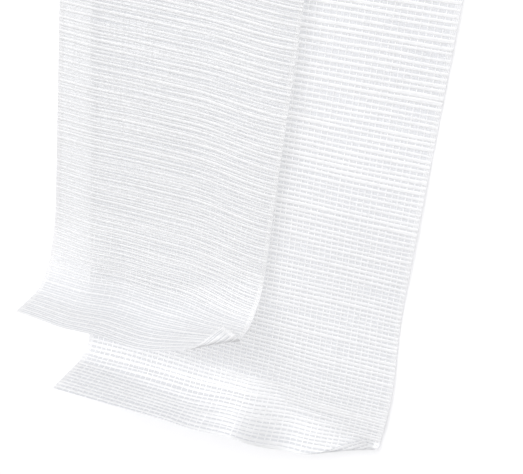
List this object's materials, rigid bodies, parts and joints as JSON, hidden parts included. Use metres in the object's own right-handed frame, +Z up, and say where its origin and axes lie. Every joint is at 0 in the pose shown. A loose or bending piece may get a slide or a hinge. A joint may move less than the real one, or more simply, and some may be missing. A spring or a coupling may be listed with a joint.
{
  "type": "overlapping gauze bandage lengths",
  "caption": "Narrow cut length of white open-weave gauze bandage lying over a wide one; lower ends curl up, lower right corners folded back.",
  "frame": {"origin": "bottom centre of the box round both lengths, on the surface that they lie on", "axes": "+Z up from the surface, +Y along the wide length away from the curled ends, +X across it towards the folded corners"},
  "size_m": [0.086, 0.194, 0.0216],
  "materials": {
    "wide_gauze_cotton": "matte open-weave cotton",
    "narrow_gauze_cotton": "matte open-weave cotton"
  },
  "bodies": {
    "root": {"wide_gauze": "wide_gauze_cotton", "narrow_gauze": "narrow_gauze_cotton"}
  },
  "joints": []
}
